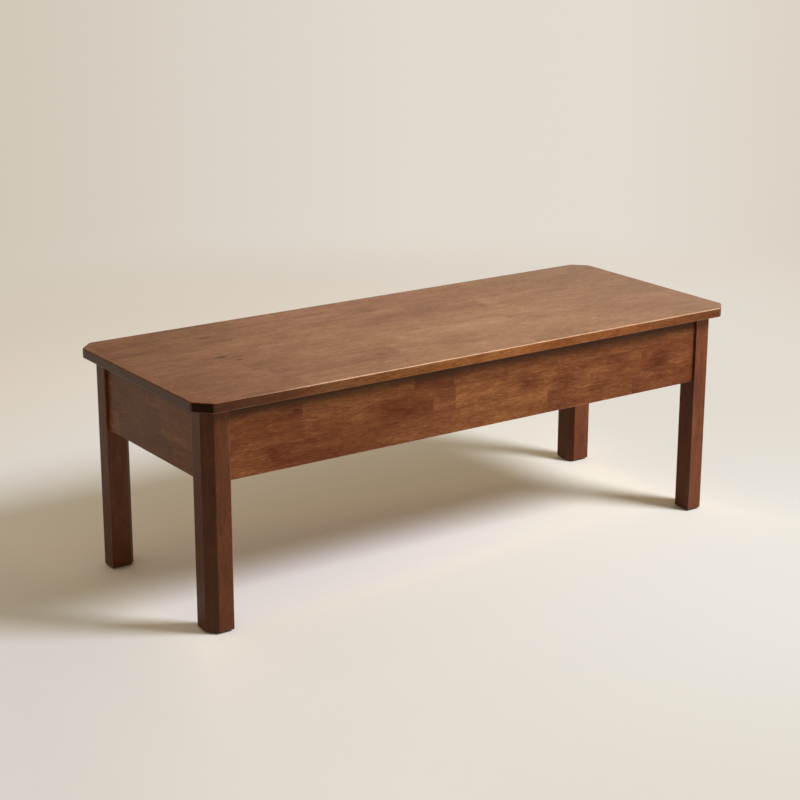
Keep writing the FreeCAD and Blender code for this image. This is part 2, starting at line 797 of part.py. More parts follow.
def check_cuts():
    """Every hole must take material away from its blank."""
    for piece in doc.Objects:
        if piece.TypeId == "Part::Cut":
            for hole in piece.Tool.Links:
                if piece.Base.Shape.common(hole.Shape).Volume < LEAST_CUT:
                    raise RuntimeError(f"{hole.Name} cuts nothing")


def check_document():
    """No object may have failed, and every sub-part must be a valid solid."""
    for item in doc.Objects:
        if "Invalid" in item.State or "Error" in item.State:
            raise RuntimeError(f"{item.Name} failed: {item.State}")
    for item in sub_parts:
        if item.Shape.isNull() or not item.Shape.isValid() or not item.Shape.Solids:
            raise RuntimeError(f"{item.Label} is not a valid solid")


def write_parts():
    """Write one file for each sub-part."""
    os.makedirs("parts", exist_ok=True)
    for item in sub_parts:
        item.Shape.exportStep(f"parts/{item.Label}.step")
        print(item.Label, len(item.Shape.Solids), "solids,", round(item.Shape.Volume), "mm3")


write_sheet()
make_top()
for corner_name, (toward_x, toward_y) in CORNERS.items():
    make_leg(corner_name, toward_x, toward_y)
    make_block(corner_name, toward_x, toward_y)
    make_glide(corner_name, toward_x, toward_y)
make_aprons()
make_leg_bolts()
make_block_screws()
for rail_name, toward_end in (("cross_rail_right", 1), ("cross_rail_left", -1)):
    make_rail(rail_name, toward_end)
make_rail_dowels()
make_clips()
make_top_screws()
make_glide_nails()
doc.recompute()
check_cuts()
check_document()
write_parts()
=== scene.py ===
import math
import random
from typing import NamedTuple

import bmesh
import bpy
import numpy as np
from mathutils import Matrix, Vector


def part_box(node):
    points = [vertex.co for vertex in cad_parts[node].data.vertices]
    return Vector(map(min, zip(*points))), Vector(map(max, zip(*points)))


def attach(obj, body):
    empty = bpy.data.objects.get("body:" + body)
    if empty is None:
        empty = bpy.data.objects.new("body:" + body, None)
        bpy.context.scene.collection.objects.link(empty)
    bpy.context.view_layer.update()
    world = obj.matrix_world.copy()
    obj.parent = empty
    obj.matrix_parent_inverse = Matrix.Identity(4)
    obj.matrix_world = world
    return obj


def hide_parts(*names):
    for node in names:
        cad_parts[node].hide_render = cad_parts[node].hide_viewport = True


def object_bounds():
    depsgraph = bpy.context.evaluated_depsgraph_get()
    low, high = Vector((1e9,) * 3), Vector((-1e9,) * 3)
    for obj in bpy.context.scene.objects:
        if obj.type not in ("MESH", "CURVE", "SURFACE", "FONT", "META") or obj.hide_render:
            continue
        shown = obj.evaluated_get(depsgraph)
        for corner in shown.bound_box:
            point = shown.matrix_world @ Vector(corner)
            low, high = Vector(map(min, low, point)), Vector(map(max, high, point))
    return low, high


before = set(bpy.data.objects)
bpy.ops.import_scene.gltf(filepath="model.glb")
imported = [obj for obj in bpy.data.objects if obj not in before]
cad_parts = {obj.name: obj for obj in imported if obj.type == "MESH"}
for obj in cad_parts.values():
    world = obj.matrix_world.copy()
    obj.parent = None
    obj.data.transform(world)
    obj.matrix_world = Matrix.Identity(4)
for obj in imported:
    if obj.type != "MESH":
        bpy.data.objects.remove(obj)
cad_low, cad_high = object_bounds()

MM = 0.001
CORNERS = ("rear_right", "rear_left", "front_left", "front_right")


def rgb(red, green, blue):
    """A colour written as 0 to 255 display values, as the linear colour of a socket."""
    channels = [value / 255 for value in (red, green, blue)]
    linear = [c / 12.92 if c <= 0.04045 else ((c + 0.055) / 1.055) ** 2.4 for c in channels]
    return (*linear, 1.0)


# Camera, solved on the photograph's straight edges
LENS = 87.03
CAMERA_PLACE = (-2.0589, -2.9165, 1.3597)
CAMERA_YAW = math.radians(34.731)
CAMERA_PITCH = math.radians(16.905)
CAMERA_ROLL = math.radians(0.115)

# Studio
LAMP_PLACE = Vector((1.74, -1.98, 2.54))
LAMP_SIZE = 1.15
LAMP_TARGET = Vector((0, 0, 0.2))
LAMP_POWER = 110.0
LAMP_COLOUR = (0.97, 0.985, 1.055)
FILL_LEVEL = 0.345
FILL_FROM_ABOVE = 0.06
FILL_FROM_BEHIND = 0.12
FILL_COLOUR = (1.17, 0.935, 0.64)
LEAST_FILL = 0.04
BACKDROP = rgb(224, 217, 205)

# What gloss reflects: a backdrop that brightens to the right, and a dark room behind the camera
MIRRORED_LEFT = (0.10, 0.09, 0.07, 1.0)
MIRRORED_RIGHT = (0.86, 0.82, 0.66, 1.0)
MIRRORED_ROOM = (0.05, 0.042, 0.034, 1.0)

# The floor's tones from left to right of the view, far off and close to the bench: painted light, darkest
# on the left, away from the lamp
FLOOR_RADIUS = 60.0
FLOOR_LIMIT = 1.0
FAN_WIDTH = math.radians(11.8)
FAR_TONES = [
    (0.0, rgb(208, 200, 184)),
    (0.26, rgb(217, 210, 198)),
    (0.52, rgb(225, 219, 207)),
    (0.78, rgb(226, 220, 208)),
    (1.0, rgb(219, 211, 198)),
]
CLOSE_TONES = [
    (0.0, rgb(220, 213, 203)),
    (0.26, rgb(226, 219, 208)),
    (0.52, rgb(229, 223, 212)),
    (1.0, rgb(229, 223, 211)),
]
PAPER_FIBRE = rgb(200, 192, 180)
# a painted pool of light on the floor in front of the bench, towards the lamp
LIGHT_POOL_PLACE = (0.5, -0.55)
LIGHT_POOL_TONE = rgb(240, 236, 226)

# Share of the fill that reaches the floor, by distance out from the bench's edge
# where this share is low, the floor's colour is painted brighter to cancel the shade
FILL_SHARES = [
    (-0.23, 0.36),
    (-0.10, 0.42),
    (0.0, 0.62),
    (0.1, 0.76),
    (0.2, 0.85),
    (0.4, 0.95),
    (0.8, 1.0),
]
END_FALLOFF = 2.2

# Glued-up wood
APRON_STAVES = 3
BLOCK_SPREAD = 0.06
FINGER_LENGTH = 7 * MM
FINGER_PITCH = 4.5 * MM
SEAM_WIDTH = 0.7 * MM
END_STAIN = 0.88
TOP_CORNER_CLIP = 28 * MM
LEG_CORNER_CLIP = 17.5 * MM

# Tints as linear colours: some that the stain takes, and some that paint shade and reflection on faces and
# ends
ROSE_TINT = (1.0, 0.93, 1.0, 1.0)
YELLOW_TINT = (0.98, 1.0, 0.87, 1.0)
# painted shade: the top darkens towards its left end, away from the lamp; RIGHT_END_TINT makes its right
# end darker and less red
LEFT_END_SHADE = (0.76, 0.67, 0.62, 1.0)
RIGHT_END_TINT = (0.80, 0.82, 0.84, 1.0)
# painted shade on the legs' faces that look along X and on their clipped corners
LEG_SIDE_SHADE = (0.50, 0.36, 0.30, 1.0)
LEG_CLIP_SHADE = (0.42, 0.35, 0.31, 1.0)
# painted reflection: apron faces that look along X are tinted less red, standing in for the greyer
# reflection they show
APRON_END_REFLECTION_TINT = (0.83, 0.96, 1.0, 1.0)
# painted shade: the legs' other faces darken towards the left end, away from the lamp
LEG_FALLOFF_SHADES = [(0.10, (0.69, 0.69, 0.69, 1.0)), (0.90, (1.0, 1.0, 1.0, 1.0))]
# painted shade on the top's upright edges, from the left end, where it is darkest, to the right end
TOP_EDGE_SHADES = [
    (0.05, rgb(128, 105, 90)),
    (0.30, rgb(202, 183, 150)),
    (0.55, rgb(238, 222, 182)),
    (0.80, rgb(214, 186, 142)),
    (1.0, rgb(188, 160, 122)),
]

# Colours of the marks in the stained wood, and of the painted highlight on its arrises and the painted
# shadow under the top
PORE_COLOUR = rgb(52, 24, 12)
KNOT_COLOUR = rgb(78, 30, 12)
END_GRAIN_COLOUR = rgb(26, 9, 4)
# pale arrises: partly worn wood and partly a painted highlight
WEAR_AND_HIGHLIGHT_COLOUR = rgb(232, 192, 160)
EDGE_DARK = rgb(76, 38, 18)
EDGE_LIGHT = rgb(172, 108, 58)
# painted shadow of the top's overhang on the aprons' upper band
TOP_OVERHANG_SHADOW_COLOUR = rgb(44, 13, 4)


class Graph:
    """Short calls that add nodes to a node tree."""

    def __init__(self, tree):
        self.tree = tree
        tree.nodes.clear()

    def add(self, kind, **settings):
        node = self.tree.nodes.new(kind)
        for name, value in settings.items():
            setattr(node, name, value)
        return node

    def feed(self, socket, value):
        if isinstance(value, bpy.types.NodeSocket):
            self.tree.links.new(value, socket)
        else:
            socket.default_value = value

    def math(self, operation, first, second=0.0, third=0.0):
        node = self.add("ShaderNodeMath", operation=operation)
        for socket, value in zip(node.inputs, (first, second, third)):
            self.feed(socket, value)
        return node.outputs[0]

    def plus(self, *values):
        total = values[0]
        for value in values[1:]:
            total = self.math("ADD", total, value)
        return total

    def times(self, *values):
        total = values[0]
        for value in values[1:]:
            total = self.math("MULTIPLY", total, value)
        return total

    def minus(self, first, second):
        return self.math("SUBTRACT", first, second)

    def absolute(self, value):
        return self.math("ABSOLUTE", value)

    def larger(self, first, second):
        return self.math("MAXIMUM", first, second)

    def smaller(self, first, second):
        return self.math("MINIMUM", first, second)

    def distance(self, x, y):
        return self.math("SQRT", self.plus(self.times(x, x), self.times(y, y)))

    def span(self, value, low, high, to_low=0.0, to_high=1.0, kind="SMOOTHSTEP"):
        node = self.add("ShaderNodeMapRange", interpolation_type=kind)
        for socket, given in zip(node.inputs, (value, low, high, to_low, to_high)):
            self.feed(socket, given)
        return node.outputs[0]

    def mix_value(self, factor, first, second):
        node = self.add("ShaderNodeMix", data_type="FLOAT")
        self.feed(node.inputs[0], factor)
        self.feed(node.inputs[2], first)
        self.feed(node.inputs[3], second)
        return node.outputs[0]

    def split(self, vector):
        node = self.add("ShaderNodeSeparateXYZ")
        self.feed(node.inputs[0], vector)
        return node.outputs[:3]

    def join(self, x, y, z):
        node = self.add("ShaderNodeCombineXYZ")
        for socket, value in zip(node.inputs, (x, y, z)):
            self.feed(socket, value)
        return node.outputs[0]

    def noise(self, vector, scale, detail=3.0, roughness=0.5, distortion=0.0):
        node = self.add("ShaderNodeTexNoise")
        self.feed(node.inputs["Vector"], vector)
        for name, value in (
            ("Scale", scale),
            ("Detail", detail),
            ("Roughness", roughness),
            ("Distortion", distortion),
        ):
            node.inputs[name].default_value = value
        return node.outputs["Fac"]

    def mix(self, factor, first, second, blend="MIX"):
        node = self.add("ShaderNodeMix", data_type="RGBA", blend_type=blend)
        self.feed(node.inputs[0], factor)
        self.feed(node.inputs[6], first)
        self.feed(node.inputs[7], second)
        return node.outputs[2]

    def tint(self, colour, tint):
        return self.mix(1.0, colour, tint, "MULTIPLY")

    def place(self):
        """Object coordinates, which are metres in the part's frame."""
        return self.add("ShaderNodeTexCoord").outputs["Object"]

    def ramp(self, value, stops, kind="LINEAR"):
        node = self.add("ShaderNodeValToRGB")
        node.color_ramp.interpolation = kind
        elements = node.color_ramp.elements
        while len(elements) < len(stops):
            elements.new(0.5)
        for element, (position, colour) in zip(elements, stops):
            element.position = position
            element.color = colour
        self.feed(node.inputs[0], value)
        return node.outputs[0]


def new_material(name):
    """A material with an empty node tree."""
    material = bpy.data.materials.new(name)
    material.use_nodes = True
    return material, Graph(material.node_tree)


def close_material(graph, shader, bump=None, bump_distance=0.0002, bump_strength=1.0):
    """Join a shader to the output, with a bump from a height if there is one."""
    output = graph.add("ShaderNodeOutputMaterial")
    if bump is not None:
        node = graph.add("ShaderNodeBump")
        node.inputs["Strength"].default_value = bump_strength
        node.inputs["Distance"].default_value = bump_distance
        graph.feed(node.inputs["Height"], bump)
        graph.feed(shader.inputs["Normal"], node.outputs[0])
    graph.feed(output.inputs[0], shader.outputs[0])


# Wood


def plain_axes(order):
    """Object coordinates sorted as along the grain, across it and through the piece."""

    def read(graph):
        axes = dict(zip("xyz", graph.split(graph.place())))
        return [axes[letter] for letter in order]

    return read


def corner_axes(graph):
    """The same for the diagonal corner blocks, whose grain runs across the corner."""
    x, y, z = graph.split(graph.place())
    far_x = graph.absolute(x)
    far_y = graph.absolute(y)
    side = graph.times(graph.math("SIGN", x), 3.1)
    end = graph.times(graph.math("SIGN", y), 5.7)
    along = graph.times(graph.minus(far_x, far_y), math.sqrt(0.5))
    through = graph.times(graph.plus(far_x, far_y), math.sqrt(0.5))
    return [graph.plus(along, side, end), z, through]


def block_stops(staves):
    """One constant ramp over all staves, end to end: red is tone, green warmth, blue a seed."""
    stops = []
    seeds = random.Random(11)
    for number, blocks in enumerate(staves):
        for start, tone, warmth in blocks:
            place = (number + start) / len(staves)
            stops.append((place, (tone, warmth, seeds.random(), 1.0)))
    return stops


def random_blocks(seed):
    """An apron's staves with three blocks each, of varied length and tone."""
    draw = random.Random(seed)
    staves = []
    for _ in range(APRON_STAVES):
        starts = [0.0, 0.18 + 0.3 * draw.random(), 0.58 + 0.3 * draw.random()]
        staves.append([(s, 0.5 + BLOCK_SPREAD * draw.uniform(-1, 1), draw.random()) for s in starts])
    return staves


def measured_blocks(rows, low, high):
    """Staves from rows of (start, tone, warmth): a block starts at the end of its stave, or at
    a place along X in millimetres."""
    staves = []
    for row in rows:
        shares = [0 if start is END else (start * MM - low.x) / (high.x - low.x) for start, _, _ in row]
        staves.append([(share, tone, warmth) for share, (_, tone, warmth) in zip(shares, row)])
    return staves


def near(graph, distance, reach=2.4 * MM):
    """1 at a face and 0 from a little way off it."""
    return graph.span(distance, 0.0, reach, 1.0, 0.0)


class Finish(NamedTuple):
    """How a kind of wood looks: its tones, its gloss, how strong the parts of its figure are
    (cloud, mottle, band, streak and dash) and how strong its pale dashes are."""

    palette: list
    gloss: float
    figure: tuple
    pale: float


def wood(name, axes, ends, low, high, staves, finish, spots=(), arris=None, edges=None):
    """Stained wood glued up from staves: low and high bound (along, across) in metres."""
    material, graph = new_material(name)
    along, across, through = axes(graph)

    # which stave and block a point lies in; the blocks' finger joints show as a zigzag at edges
    finger = graph.math("PINGPONG", through, FINGER_PITCH / 2)
    finger = graph.times(finger, 2 * FINGER_LENGTH / FINGER_PITCH)
    length_share = graph.span(graph.plus(along, finger), low[0], high[0], 0.0, 0.9999, "LINEAR")
    width = (high[1] - low[1]) / len(staves)
    row = graph.math("DIVIDE", graph.minus(across, low[1]), width)
    index = graph.smaller(graph.math("FLOOR", row), len(staves) - 1.0)
    index = graph.larger(index, 0.0)
    place = graph.math("DIVIDE", graph.plus(index, length_share), float(len(staves)))
    tone, warmth, seed = graph.split(graph.ramp(place, block_stops(staves), "CONSTANT"))

    # the grain starts afresh in every block
    shift = graph.plus(graph.times(seed, 9.0), graph.times(index, 1.7))
    drift = graph.noise(graph.join(graph.times(along, 3.0), across, through), 5.0, 2.0)
    sway = graph.times(graph.minus(drift, 0.5), 0.012)
    across_grain = graph.plus(across, sway, shift)
    through_grain = graph.plus(through, shift)

    def grain(stretch, scale, detail, roughness=0.55, distortion=0.0):
        """Noise drawn out along the grain, as a value about 0."""
        vector = graph.join(graph.times(along, 1 / stretch), across_grain, through_grain)
        return graph.minus(graph.noise(vector, scale, detail, roughness, distortion), 0.5)

    cloud = grain(2.4, 16.0, 3.0, 0.5, 0.3)
    mottle = grain(3.6, 58.0, 3.0, 0.55, 0.5)
    band = grain(9.0, 95.0, 2.0, 0.5, 0.2)
    streak = grain(6.0, 330.0, 3.0, 0.6)
    dash = grain(8.0, 760.0, 2.0, 0.6)
    pore = graph.span(grain(9.0, 950.0, 1.0), 0.13, 0.24)
    fleck = graph.span(grain(5.0, 420.0, 1.0), 0.15, 0.26)
    pale = graph.span(grain(5.5, 460.0, 2.0, 0.6), 0.07, 0.20)
    figure = zip((cloud, mottle, band, streak, dash), finish.figure)
    shade = graph.plus(tone, *[graph.times(part, strength) for part, strength in figure])

    # seams between the staves, darker here and there
    to_seam = graph.absolute(graph.minus(graph.math("FRACT", row), 0.5))
    seam = graph.span(to_seam, 0.5 - SEAM_WIDTH / width, 0.5)
    from_middle = graph.absolute(graph.minus(row, len(staves) / 2))
    inner = graph.math("LESS_THAN", from_middle, len(staves) / 2 - 0.4)
    patchy = graph.noise(graph.join(along, index, 0.0), 7.0, 2.0)
    seam = graph.times(seam, inner, graph.span(patchy, 0.42, 0.62, 0.08, 0.5))

    # knots and smudges: place along and across, radius, strength
    dark = seam
    for spot_along, spot_across, radius, strength in spots:
        run = graph.times(graph.minus(along, spot_along), 0.6)
        rise = graph.minus(across, spot_across)
        gap = graph.distance(run, rise)
        rough_edge = graph.plus(gap, graph.times(graph.plus(mottle, streak), 0.9 * radius))
        spot = graph.span(rough_edge, 0.0, 1.3 * radius, strength, 0.0)
        dark = graph.larger(dark, spot)

    colour = graph.ramp(shade, finish.palette)
    colour = graph.tint(colour, graph.mix(warmth, ROSE_TINT, YELLOW_TINT))
    pale = graph.times(pale, graph.span(shade, 0.42, 0.66), finish.pale)
    colour = graph.mix(pale, colour, finish.palette[-1][1])
    marks = graph.plus(graph.times(pore, 0.30), graph.times(fleck, 0.16))
    colour = graph.mix(graph.smaller(marks, 0.5), colour, PORE_COLOUR)
    colour = graph.mix(dark, colour, KNOT_COLOUR)

    # end grain takes more stain; the edges function adds painted shade and tints to some faces
    facing = graph.add("ShaderNodeNewGeometry").outputs["True Normal"]
    end = ends(graph, facing)
    if edges is not None:
        colour = edges(graph, facing, colour)
    colour = graph.mix(graph.times(end, END_STAIN), colour, END_GRAIN_COLOUR)

    uneven = [graph.times(part, share) for part, share in ((pore, 0.12), (band, 0.16), (cloud, 0.12))]
    rough = graph.plus(finish.gloss, *uneven, graph.times(end, 0.12))
    # pale arrises, partly wear and partly a painted highlight; eased arrises are glossier too
    if arris is not None:
        eased, wear_and_highlight = arris(graph)
        pale_arris = graph.times(wear_and_highlight, graph.span(mottle, -0.15, 0.10, 0.7, 1.0))
        colour = graph.mix(pale_arris, colour, WEAR_AND_HIGHLIGHT_COLOUR)
        rough = graph.mix_value(graph.times(eased, 0.8), rough, 0.2)

    shader = graph.add("ShaderNodeBsdfPrincipled")
    graph.feed(shader.inputs["Base Color"], colour)
    graph.feed(shader.inputs["Roughness"], rough)
    dull = graph.larger(end, dark)
    graph.feed(shader.inputs["Specular IOR Level"], graph.mix_value(dull, 0.5, 0.15))
    shader.inputs["Specular Tint"].default_value = (1.0, 0.78, 0.5, 1.0)
    shader.inputs["IOR"].default_value = 1.36
    shader.inputs["Coat Weight"].default_value = 0.04
    shader.inputs["Coat Roughness"].default_value = 0.15
    height = graph.minus(graph.plus(streak, graph.times(dash, 0.7)), graph.plus(pore, seam))
    close_material(graph, shader, height, 0.00014, 0.8)
    return material


def ends_along(letter):
    """End grain: how squarely a surface of a piece whose grain runs along one axis cuts across it."""

    def read(graph, facing):
        parts = dict(zip("xyz", graph.split(facing)))
        return graph.span(graph.absolute(parts[letter]), 0.45, 0.95)

    return read


def corner_ends(graph, facing):
    """The mitred ends of the corner blocks face one of the long or short sides squarely."""
    x, y, _ = graph.split(facing)
    square = graph.larger(graph.absolute(x), graph.absolute(y))
    return graph.span(square, 0.85, 0.98)


def top_ends(graph, facing):
    """The clipped corners of the top show end grain."""
    x, y, _ = graph.split(facing)
    clip = graph.times(graph.absolute(x), graph.absolute(y))
    return graph.span(clip, 0.36, 0.44)


def top_faces(graph, facing, colour):
    """Painted shade on the top: it is darker towards its left end, away from the lamp, and darker and less
    red towards its right end; its upright edges are darkened, most at the left end, and speckled with
    stain.
    """
    x, y, z = graph.split(graph.place())
    # painted shade towards the left end, and a darker, less red right end
    to_left = graph.span(x, -0.62, -0.12, 1.0, 0.0)
    to_right = graph.span(x, 0.20, 0.62)
    colour = graph.mix(to_left, colour, graph.tint(colour, LEFT_END_SHADE))
    colour = graph.mix(to_right, colour, graph.tint(colour, RIGHT_END_TINT))
    # painted shade on the upright edge faces, along X, with speckles of stain on them
    upright = graph.span(graph.absolute(graph.split(facing)[2]), 0.15, 0.75, 1.0, 0.0)
    run = graph.span(x, cad_low.x, cad_high.x, 0.0, 1.0, "LINEAR")
    shaded_edge = graph.tint(colour, graph.ramp(run, TOP_EDGE_SHADES))
    speckle = graph.noise(graph.join(graph.times(x, 0.4), y, z), 420.0, 2.0, 0.6)
    shaded_edge = graph.mix(graph.span(speckle, 0.56, 0.72, 0.0, 0.35), shaded_edge, EDGE_DARK)
    light = graph.times(graph.span(speckle, 0.30, 0.44, 0.35, 0.0), graph.span(x, -0.46, -0.20))
    shaded_edge = graph.mix(light, shaded_edge, EDGE_LIGHT)
    return graph.mix(upright, colour, shaded_edge)


TOP_PALETTE = [
    (0.10, rgb(93, 38, 8)),
    (0.35, rgb(127, 71, 29)),
    (0.52, rgb(151, 99, 62)),
    (0.72, rgb(174, 127, 97)),
    (0.95, rgb(198, 158, 132)),
]
APRON_PALETTE = [
    (0.10, rgb(60, 19, 4)),
    (0.35, rgb(90, 38, 13)),
    (0.52, rgb(113, 61, 31)),
    (0.72, rgb(143, 90, 51)),
    (0.95, rgb(178, 126, 80)),
]
LEG_PALETTE = [
    (0.10, rgb(56, 23, 11)),
    (0.35, rgb(86, 41, 23)),
    (0.52, rgb(110, 58, 34)),
    (0.72, rgb(135, 79, 48)),
    (0.95, rgb(164, 105, 68)),
]
INNER_PALETTE = [
    (0.05, rgb(108, 74, 46)),
    (0.35, rgb(140, 101, 66)),
    (0.55, rgb(163, 122, 82)),
    (0.78, rgb(182, 142, 99)),
    (1.0, rgb(200, 163, 118)),
]
DOWEL_PALETTE = [
    (0.05, rgb(150, 116, 78)),
    (0.35, rgb(186, 150, 107)),
    (0.55, rgb(204, 170, 126)),
    (0.78, rgb(218, 187, 144)),
    (1.0, rgb(230, 204, 164)),
]


TOP_FINISH = Finish(TOP_PALETTE, 0.37, (0.46, 0.34, 0.30, 0.52, 0.46), 0.10)
APRON_FINISH = Finish(APRON_PALETTE, 0.43, (0.42, 0.28, 0.22, 0.42, 0.36), 0.40)
LEG_FINISH = Finish(LEG_PALETTE, 0.42, (0.28, 0.16, 0.34, 0.40, 0.30), 0.08)
INNER_FINISH = Finish(INNER_PALETTE, 0.62, (0.40, 0.30, 0.34, 0.50, 0.40), 0.10)
DOWEL_FINISH = Finish(DOWEL_PALETTE, 0.70, (0.30, 0.20, 0.30, 0.50, 0.40), 0.0)


# Blocks of each stave as (start, tone, warmth), where a start other than END is in millimetres
# along X, and knots as (along, across, radius, strength)
END = None

# The top's seven staves from the front edge to the rear, with the joints that the photo shows
TOP_BLOCKS = [
    [(END, 0.51, 0.3), (-401, 0.56, 0.7), (120, 0.53, 0.5)],
    [(END, 0.53, 0.5), (-397, 0.50, 0.0), (-143, 0.56, 0.5), (330, 0.53, 0.3)],
    [(END, 0.52, 0.4), (-430, 0.53, 0.7), (-105, 0.60, 0.7), (170, 0.54, 0.3)],
    [(END, 0.53, 0.6), (-330, 0.53, 0.4), (-20, 0.57, 0.7), (420, 0.51, 0.6)],
    [(END, 0.54, 0.9), (-143, 0.49, 0.0), (205, 0.54, 0.5)],
    [(END, 0.46, 0.6), (-343, 0.53, 0.3), (60, 0.50, 0.4)],
    [(END, 0.45, 0.7), (-301, 0.51, 0.1), (160, 0.51, 0.7)],
]
TOP_KNOTS = [
    (-0.421, 0.0077, 0.009, 0.9),
    (-0.402, -0.023, 0.006, 0.9),
    (-0.380, 0.140, 0.012, 0.35),
    (-0.172, -0.139, 0.007, 0.5),
    (-0.020, 0.148, 0.030, 0.22),
    (0.272, 0.105, 0.010, 0.4),
    (0.310, 0.038, 0.008, 0.3),
]

# The front apron's three staves from its bottom edge up
FRONT_APRON_BLOCKS = [
    [(END, 0.48, 0.4), (-300, 0.51, 0.6), (-62, 0.61, 0.9),
     (165, 0.50, 0.4), (293, 0.55, 0.8), (375, 0.44, 0.3)],
    [(END, 0.49, 0.4), (-382, 0.53, 0.7), (-105, 0.52, 0.4),
     (-62, 0.58, 0.7), (180, 0.53, 0.6), (395, 0.47, 0.3)],
    [(END, 0.49, 0.4), (-382, 0.53, 0.6), (-150, 0.50, 0.3),
     (-62, 0.56, 0.6), (60, 0.53, 0.5), (370, 0.48, 0.3)],
]
FRONT_APRON_KNOTS = [
    (-0.397, 0.375, 0.005, 0.9),
    (-0.445, 0.303, 0.020, 0.62),
    (-0.188, 0.346, 0.034, 0.42),
    (0.116, 0.342, 0.022, 0.50),
    (0.205, 0.334, 0.024, 0.50),
    (0.278, 0.307, 0.016, 0.4),
    (0.439, 0.338, 0.020, 0.55),
    (0.443, 0.301, 0.018, 0.50),
]


def top_wood():
    """The top, its grain along X."""
    low = (cad_low.x, cad_low.y)
    high = (cad_high.x, cad_high.y)
    staves = measured_blocks(TOP_BLOCKS, cad_low, cad_high)
    parts = (TOP_FINISH, TOP_KNOTS, top_arris, top_faces)
    return wood("top_wood", plain_axes("xyz"), top_ends, low, high, staves, *parts)


def top_arris(graph):
    """Where the top's faces meet its edges, and how far each arris is painted pale, as wear and as a
    painted highlight: the long upper ones, which hands and legs brush and along which the lamp's highlight
    runs, more than the others."""
    x, y, z = graph.split(graph.place())
    far_x = graph.absolute(x)
    far_y = graph.absolute(y)
    to_end = graph.minus(cad_high.x, far_x)
    to_side = graph.minus(cad_high.y, far_y)
    corner = cad_high.x + cad_high.y - TOP_CORNER_CLIP
    to_clip = graph.times(graph.minus(corner, graph.plus(far_x, far_y)), math.sqrt(0.5))
    inset = graph.smaller(to_clip, graph.smaller(to_end, to_side))
    upper = near(graph, graph.minus(cad_high.z, z))
    lower = near(graph, graph.minus(z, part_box("top_panel")[0].z))
    eased = graph.times(near(graph, inset), graph.larger(upper, lower))
    # painted highlight and wear along the long upper arrises, from a little way in from the left end
    upper_wear_and_highlight = graph.times(near(graph, to_side), upper, graph.span(x, -0.50, -0.36, 0.1, 1.0))
    lower_wear_and_highlight = graph.times(near(graph, to_side), lower, 0.06)
    return eased, graph.larger(upper_wear_and_highlight, lower_wear_and_highlight)


def leg_arris(graph):
    """The upright arrises of all four legs, which mirror one another: how glossy they are, and how far they
    are painted pale, as wear and as a painted highlight.
    """
    low_corner, high_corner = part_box("leg_rear_right")
    x, y, _ = graph.split(graph.place())
    far_x = graph.absolute(x)
    far_y = graph.absolute(y)
    outer_x = near(graph, graph.minus(high_corner.x, far_x))
    inner_x = near(graph, graph.minus(far_x, low_corner.x))
    outer_y = near(graph, graph.minus(high_corner.y, far_y))
    inner_y = near(graph, graph.minus(far_y, low_corner.y))
    corner = high_corner.x + high_corner.y - LEG_CORNER_CLIP
    to_clip = graph.times(graph.minus(corner, graph.plus(far_x, far_y)), math.sqrt(0.5))
    clip = near(graph, to_clip)
    pairs = ((outer_x, clip), (outer_y, clip), (outer_x, inner_y), (outer_y, inner_x))
    clipped, other_clipped, side, front = [graph.times(first, second) for first, second in pairs]
    clipped = graph.larger(clipped, other_clipped)
    plain = graph.larger(side, front)
    return graph.times(graph.larger(clipped, plain), 0.3), graph.times(plain, 0.2)


def leg_faces(graph, facing, colour):
    """Painted shade on the legs' faces: the end ones and the clipped corners are darkened most, and the
    others darken towards the left end, away from the lamp.
    """
    run = graph.span(graph.split(graph.place())[0], cad_low.x, cad_high.x, 0.0, 1.0, "LINEAR")
    x, y, _ = graph.split(facing)
    side = graph.span(graph.absolute(x), 0.75, 0.95)
    clip = graph.span(graph.absolute(graph.times(x, y)), 0.30, 0.42)
    # painted shade by which way each face looks and by where it stands along X
    tint = graph.mix(side, graph.ramp(run, LEG_FALLOFF_SHADES), LEG_SIDE_SHADE)
    tint = graph.mix(clip, tint, LEG_CLIP_SHADE)
    return graph.tint(colour, tint)


def apron_arris(graph):
    """The lower arrises of the aprons, which are glossier and painted a little pale, as wear and as a
    painted highlight.
    """
    height = graph.split(graph.place())[2]
    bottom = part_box("apron_front")[0].z
    bottom_arris = near(graph, graph.minus(height, bottom), 1.6 * MM)
    return bottom_arris, graph.times(bottom_arris, 0.15)


def apron_faces(graph, facing, colour):
    """The end aprons are tinted a little less red, a painted stand-in for the greyer reflection they show,
    and a painted shadow of the top's overhang darkens the upper band of every apron.
    """
    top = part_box("apron_front")[1].z
    height = graph.split(graph.place())[2]
    # painted shadow: the top's overhang shades the upper band of every apron
    overhang_shadow = graph.span(height, top - 28 * MM, top - 9 * MM, 0.0, 0.85)
    # painted reflection tint on the faces that look along X
    at_end = graph.span(graph.absolute(graph.split(facing)[0]), 0.7, 0.9)
    colour = graph.mix(at_end, colour, graph.tint(colour, APRON_END_REFLECTION_TINT))
    return graph.mix(overhang_shadow, colour, TOP_OVERHANG_SHADOW_COLOUR)


def apron_wood(name, order, node, staves, knots=()):
    """An apron of three staves laid one above another."""
    box_low, box_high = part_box(node)
    run = "xyz".index(order[0])
    low = (box_low[run], box_low.z)
    high = (box_high[run], box_high.z)
    parts = (APRON_FINISH, knots, apron_arris, apron_faces)
    return wood(name, plain_axes(order), ends_along(order[0]), low, high, staves, *parts)


def front_apron_wood():
    """The front apron, with the blocks and knots that the photo shows."""
    staves = measured_blocks(FRONT_APRON_BLOCKS, *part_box("apron_front"))
    return apron_wood("apron_front_wood", "xzy", "apron_front", staves, FRONT_APRON_KNOTS)


